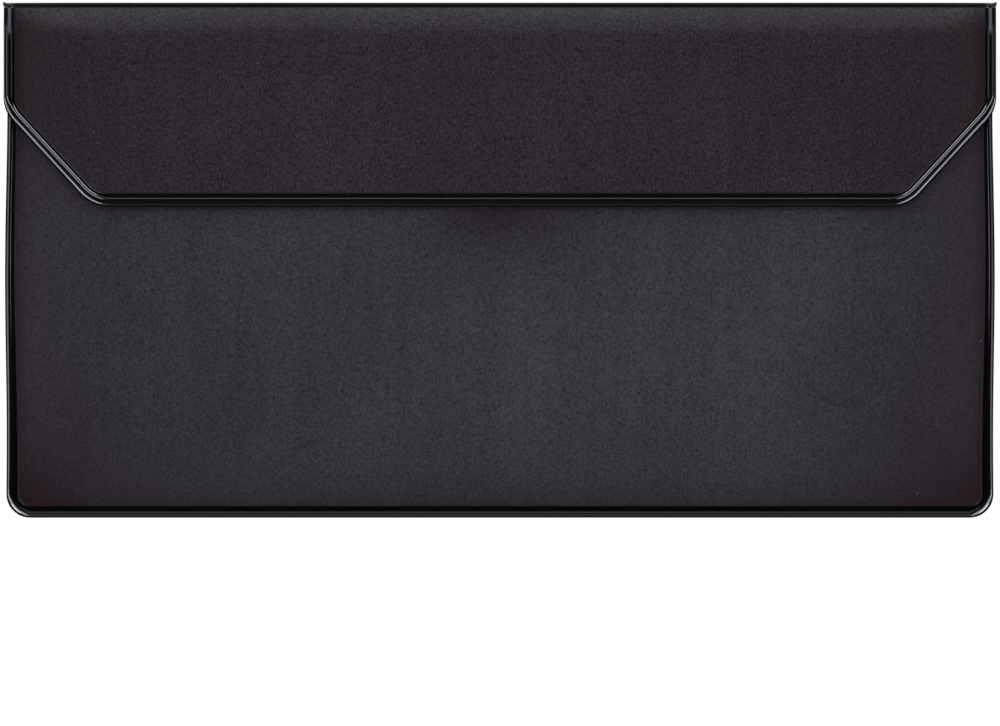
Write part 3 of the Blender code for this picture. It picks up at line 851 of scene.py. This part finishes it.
class POUCH_OT_front(Operator):
    """Lay the swollen front, its lining and the hem along the mouth"""

    bl_idname = "pouch.front"
    bl_label = "Front"

    def execute(self, context):
        sizes = context.scene.pouch_sizes
        inset = sizes.body_weld_width - OVERLAP
        x, y, distance = sheet_grid(body_corners(HEM_LOWER_Y), inset)
        distance = distance - sizes.bottom_groove * (1 - ease((y - BOTTOM_Y) / BEAD_RUN))
        rise = swell(x, y)
        outer = FOUR_PLIES + rise - edge_fall(distance, sizes)
        inner = np.minimum(FOUR_PLIES - COVER_THICKNESS + rise, outer - SKIN)
        sheen_and_haze = front_sheen_and_shade(x, y)
        # the flap's painted shadow takes the lighter tint off the front
        rubbed = sheen_and_haze * (1 - self.painted_flap_shadow(x, y))
        lay_sheet("front_sheet", x, y, outer, inner, pressed_and_shaded_near(distance, sizes), rubbed)
        bottom, top = FRONT_LINING_Z + rise, FRONT_LINING_Z + rise + LINING_THICKNESS
        lay_sheet("front_lining_sheet", x, y, bottom, top, distance * 0, sheen_and_haze)
        self.add_hem(x[-1])
        return {"FINISHED"}

    def painted_flap_shadow(self, x, y):
        """Painted shadow of the flap: how much of the lighter tint it takes off the front.

        It is the greater of painted shade in the middle below the flap's edge, a bell curve in both directions,
        and a band of painted shadow along the flap's edge, which fades as exp(-d / run).
        """
        across, along = x / SHADE_PATCH_ACROSS, (y - FLAP_LOWER_Y - SHADE_PATCH_BELOW) / SHADE_PATCH_ALONG
        outside = np.maximum(-edge_distance(x, y, flap_corners(CREASE_Y), 0), 0)
        patch = SHADE_PATCH_SHARE * np.exp(-across * across - along * along)
        return np.maximum(patch, SHADOW_BAND_SHARE * np.exp(-outside / SHADOW_BAND_RUN))

    def add_hem(self, x):
        """The hem: its section is a rounded strip with a low crest along the free edge, carried along the mouth."""
        width = MOUTH_Y - HEM_LOWER_Y
        across = width * (1 - np.cos(np.linspace(0, math.pi, HEM_POINTS))) / 2
        height = FOUR_PLIES - FRONT_LINING_Z
        upper = height * crest(across, width / 2, width / 2 + SKIN, HEM_SQUARENESS)
        upper += HEM_CREST * crest(across, HEM_CREST_HALF, HEM_CREST_HALF, 2)
        section_y = np.concatenate([MOUTH_Y - across, MOUTH_Y - across[::-1]])
        section_z = np.concatenate([upper, np.zeros_like(upper)])
        rings = body_points(x[:, None], section_y, FRONT_LINING_Z + section_z + swell(x[:, None], section_y))
        seat(add_bar("mouth_hem", rings), "pouch", "mouth_weld")


class POUCH_OT_body_weld(Operator):
    """Run the weld down both sides and round the bottom"""

    bl_idname = "pouch.body_weld"
    bl_label = "Body weld"

    def execute(self, context):
        sizes = context.scene.pouch_sizes
        points, lefts = rounded_path(body_corners(CREASE_Y))
        across, offset = self.section(points, lefts, sizes)
        place = points[:, None, :] + lefts[:, None, :] * across[..., None]
        rings = body_points(place[..., 0], place[..., 1], edge_stack(points[:, 1])[:, None] / 2 + offset)
        seat(add_bar("body_weld_bead", rings), "pouch", "pouch_weld")
        return {"FINISHED"}

    def section(self, points, lefts, sizes):
        """The section at each point of the path, as distance in from the edge and height from the stack's middle.

        From the edge in: a wall, a level rim, the bead, a wall and a level groove, the same above and below. Both
        sides of the bead fall from its top as u ** 2. Its inner side is nearly level along the bottom, and gets
        steeper up to the flap, so that the line of light on it grows from nothing. Its outer side does so too. In the
        bottom corners, where twice the product of the direction's two parts comes to 1, it is as steep as beside the
        flap, and widest. Along the bottom it falls as k u + (1 - k) u ** 2, so that its light reaches the bead's top.
        """
        share, groove = np.linspace(0, 1, BEAD_POINTS), np.linspace(0, 1, GROOVE_POINTS)
        stack = edge_stack(points[:, 1:])
        up = ease((points[:, 1:] - BOTTOM_Y) / BEAD_RUN)
        corner = 2 * np.abs(lefts[:, :1] * lefts[:, 1:])
        widening, inner = sizes.corner_widening * ease(CORNER_SPREAD * corner), sizes.bead_inner
        top, outer = sizes.bead_inset + 2 * widening, sizes.bead_outer + widening
        steep = np.maximum(up, corner)
        peak = sizes.bead_peak * (1 - steep) * np.abs(lefts[:, 1:])
        outer_share = share[::-1] * (peak + (1 - peak) * share[::-1])
        outer_slope = sizes.bead_foot_slope + (sizes.bead_slope - sizes.bead_foot_slope) * steep
        inner_slope = sizes.bead_low_slope + (sizes.bead_high_slope - sizes.bead_low_slope) * up
        crown, web = stack / 2, sizes.web_share * stack / 2
        outer_fall = np.minimum(outer * np.tan(outer_slope) / 2, stack / 4)
        inner_fall = np.minimum(inner * np.tan(inner_slope) / 2, stack / 4)
        rim, foot = crown - outer_fall, top + inner
        last = sizes.body_weld_width + OVERLAP
        runs = [
            (top * 0, rim * 0),
            (top * 0, rim),
            (top - outer - GUARD, rim),
            (top - outer * share[::-1], crown - outer_fall * outer_share),
            (top + inner * share[1:], crown - inner_fall * share[1:] ** 2),
            (foot + (last - foot) * groove, web + 0 * groove),
        ]
        across, offset = join_runs(runs, len(points))
        return np.concatenate([across, across[:, :0:-1]], axis=1), np.concatenate([offset, -offset[:, :0:-1]], axis=1)


def fall_along(steps, angle, bow):
    """How far a side has fallen at each share of its width, in widths.

    It is the sum of the tangent of its slope, which grows evenly by the bow from top to foot.
    """
    slope = angle + bow * (steps[1:] + steps[:-1] - 1) / 2
    return np.concatenate([[0], np.cumsum(np.tan(slope) * np.diff(steps))])


def flap_section(sizes, wide, cut=0.0):
    """The flap weld's sections, as distance in from the edge and height over the flap's underside.

    From the edge in: a wall, a level rim, the lip's sloping side and level top, a wall, the valley, a wall, the ridge
    with a sloping side on each hand, a wall and the groove. Each sloping side throws one thin line of light. The
    valley falls inwards at a slant at which it mirrors no lamp, and so does the groove down the flap's sides. There,
    where wide is 1, the lip is narrow and the ridge broad. Where cut is 1, the rim stands out further. The underside
    has two channels, as sin ** 2 of a turn.
    """
    wide = np.reshape(wide, (-1, 1))
    brink = -sizes.cut_rim * np.reshape(cut, (-1, 1)) + 0 * wide
    steps, even = np.linspace(0, 1, SLOPE_POINTS), np.linspace(-1, 1, RIDGE_POINTS)[1:-1]
    back = np.linspace(1, 0, UNDERSIDE_POINTS)[:-1]
    lip_fall = fall_along(steps, sizes.lip_angle, sizes.lip_bow)
    side_fall = fall_along(steps, sizes.side_angle, sizes.side_bow)
    side, floor = sizes.side_width, sizes.valley_height
    lip_share = 1 - (1 - sizes.side_lip) * wide
    rim, lip = sizes.rim_width * lip_share, sizes.lip_inset * lip_share
    lip_side, lip_end = lip - rim, lip + sizes.lip_flat * lip_share
    foot = sizes.lip_height - lip_side * lip_fall[-1]
    flat = sizes.ridge_flat + sizes.ridge_widening * wide
    centre = sizes.ridge_inset - sizes.ridge_shift * wide
    ridge_start, ridge_end = centre - flat - side, centre + flat + side
    sheet, last = sizes.flap_weld_width - OVERLAP, sizes.flap_weld_width + OVERLAP
    slanted = math.tan(sizes.valley_slant) * (1 - steps)
    runs = [
        (np.concatenate([brink, brink, rim - GUARD], axis=1), foot * np.array([0, 1, 1])),
        (lip - lip_side * steps[::-1], sizes.lip_height - lip_side * lip_fall[::-1]),
        (np.concatenate([lip + GUARD, lip_end], axis=1), np.full(2, sizes.lip_height)),
        (lip_end + (ridge_start - lip_end) * steps, floor + (ridge_start - lip_end) * slanted),
        (centre - flat - side * steps[::-1], sizes.ridge_height - side * side_fall[::-1]),
        (centre + flat * even, sizes.ridge_height + 0 * even),
        (centre + flat + side * steps, sizes.ridge_height - side * side_fall),
        (ridge_end + (sheet - ridge_end) * steps, floor + (sheet - ridge_end) * wide * slanted),
        (sheet + (last - sheet) * steps[1:], floor + 0 * steps[1:]),
        (last * back, sizes.underside_depth * np.sin(2 * math.pi * back) ** 2),
    ]
    return join_runs(runs, len(wide))


class POUCH_OT_fold(Operator):
    """Bend the cover and the lining over the fold, with the weld over both of its ends"""

    bl_idname = "pouch.fold"
    bl_label = "Fold"

    def execute(self, context):
        sizes = context.scene.pouch_sizes
        angle = fold_angles()[:, None]
        inset = sizes.flap_weld_width - OVERLAP
        x = np.repeat(columns(np.array([FLAP_HALF_WIDTH - inset])), FOLD_ROWS, axis=0)
        distance = FLAP_HALF_WIDTH - inset - np.abs(x)
        fall = edge_fall(distance, sizes)
        outer_y, outer_z = fold_surface(x, angle, fall * FOLD_FALL)
        outer_z = outer_z - np.sign(np.sin(angle)) * crease(outer_y, sizes)
        inner = grid_points(x, *fold_surface(x, angle, COVER_THICKNESS + fall * FOLD_FALL / 2))
        bent = np.clip(2 * np.abs(np.sin(angle)), 0, 1)  # 0 on the outermost line, and 1 from 30 degrees off it
        pressed = np.maximum(pressed_and_shaded_near(distance, sizes), pressed_and_shaded_crease(outer_y, sizes) * bent)
        # painted shade along the fold's outermost line
        sheen_and_haze = flap_sheen_and_haze(x, outer_y) * (FOLD_SHADED_LINE_SHARE + (1 - FOLD_SHADED_LINE_SHARE) * bent)
        cover = add_sheet("fold_sheet", COVER, grid_points(x, outer_y, outer_z), inner, pressed, sheen_and_haze)
        bend_over_fold(cover, "cover_spine")
        upper = grid_points(x, *fold_surface(x, angle, TWO_PLIES - LINING_THICKNESS))
        lower = grid_points(x, *fold_surface(x, angle, TWO_PLIES))
        lining = add_sheet("fold_lining_sheet", LINING, upper, lower, distance * 0, sheen_and_haze)
        bend_over_fold(lining, "lining_spine")
        for side, name in ((-1, "left"), (1, "right")):
            self.add_end(side, name, angle, sizes)
        return {"FINISHED"}

    def add_end(self, side, name, angle, sizes):
        """The flap weld's section carried round the fold's end.

        Its relief dies out towards the fold's outermost line, as a power of the cosine. Its outer rim stands out
        there as a small pointed ear.
        """
        across, height = flap_section(sizes, 1.0)
        above = height > 1.1 * sizes.underside_depth  # the points over the channels in the section's underside
        tip = np.clip(np.cos(angle), 0, 1)
        height = height + (TWO_PLIES * above - height) * tip ** EAR_RELIEF
        standing = np.clip(1 - across / EAR_WIDTH, 0, 1) ** 2 * np.sqrt(tip)
        x = side * (FLAP_HALF_WIDTH - across + EAR * standing)
        y, z = fold_surface(x, angle, TWO_PLIES - height)
        rings = grid_points(x, y + EAR_TIP * standing, z)
        bend_over_fold(add_bar("fold_weld_" + name, rings), "spine_weld_" + name)


class POUCH_OT_flap(Operator):
    """Lay the flap's cover and lining"""

    bl_idname = "pouch.flap"
    bl_label = "Flap"

    def execute(self, context):
        sizes = context.scene.pouch_sizes
        inset = sizes.flap_weld_width - OVERLAP
        x, y, distance = sheet_grid(flap_corners(CREASE_Y), inset)
        distance = np.minimum(distance, y - FLAP_LOWER_Y - inset - sizes.lower_groove)
        under = under_flap(x, y)
        outer = under + TWO_PLIES - edge_fall(distance, sizes) - crease(y, sizes)
        inner = np.minimum(under + TWO_PLIES - COVER_THICKNESS, outer - SKIN)
        pressed = np.maximum(pressed_and_shaded_near(distance, sizes), pressed_and_shaded_crease(y, sizes))
        sheen_and_haze = flap_sheen_and_haze(x, y)
        lay_sheet("flap_sheet", x, y, outer, inner, pressed, sheen_and_haze)
        lower = under + LINING_LIFT * (edge_fall(distance, sizes) / sizes.edge_drop)
        lay_sheet("flap_lining_sheet", x, y, lower, under + LINING_THICKNESS, distance * 0, sheen_and_haze)
        return {"FINISHED"}


class POUCH_OT_flap_weld(Operator):
    """Run the ridged weld round the flap"""

    bl_idname = "pouch.flap_weld"
    bl_label = "Flap weld"

    def execute(self, context):
        sizes = context.scene.pouch_sizes
        points, lefts = rounded_path(flap_corners(CREASE_Y))
        wide = ease((points[:, 1] - FOLD_Y + FLAP_SIDE_DEPTH + WIDE_START) / WIDE_RUN)
        across, height = flap_section(sizes, wide, 2 * np.abs(lefts[:, 0] * lefts[:, 1]))
        place = points[:, None, :] + lefts[:, None, :] * across[..., None]
        middle = points + lefts * WELD_MIDDLE
        under = under_flap(place[..., 0], place[..., 1])
        level = under_flap(middle[:, 0], middle[:, 1])[:, None]
        z = under + LEVELLING * (level - under) + height
        weld = add_bar("flap_weld_ridges", grid_points(place[..., 0], place[..., 1], z))
        seat(weld, "flap", "flap_weld")
        return {"FINISHED"}


class POUCH_PT_sidebar(Panel):
    """Lists the pouch's pieces, in the order in which they are made"""

    bl_idname = "POUCH_PT_sidebar"
    bl_label = "Travel document pouch"
    bl_space_type = "VIEW_3D"
    bl_region_type = "UI"
    bl_category = "Pouch"

    def draw(self, context):
        for step in STEPS:
            self.layout.operator(step.bl_idname)


STEPS = (
    POUCH_OT_stage,
    POUCH_OT_back,
    POUCH_OT_front,
    POUCH_OT_body_weld,
    POUCH_OT_fold,
    POUCH_OT_flap,
    POUCH_OT_flap_weld,
)
GROUPS = {"pouch_sizes": WeldSizes, "pouch_finish": VinylFinish, "pouch_light": StudioLight}


def register():
    for made in (*GROUPS.values(), *STEPS, POUCH_PT_sidebar):
        bpy.utils.register_class(made)
    for name, group in GROUPS.items():
        setattr(bpy.types.Scene, name, PointerProperty(type=group))


def unregister():
    for name in GROUPS:
        delattr(bpy.types.Scene, name)
    for made in reversed((*GROUPS.values(), *STEPS, POUCH_PT_sidebar)):
        bpy.utils.unregister_class(made)


def main():
    register()
    for step in STEPS:
        group, name = step.bl_idname.split(".")
        getattr(getattr(bpy.ops, group), name)()


if __name__ == "__main__":
    main()
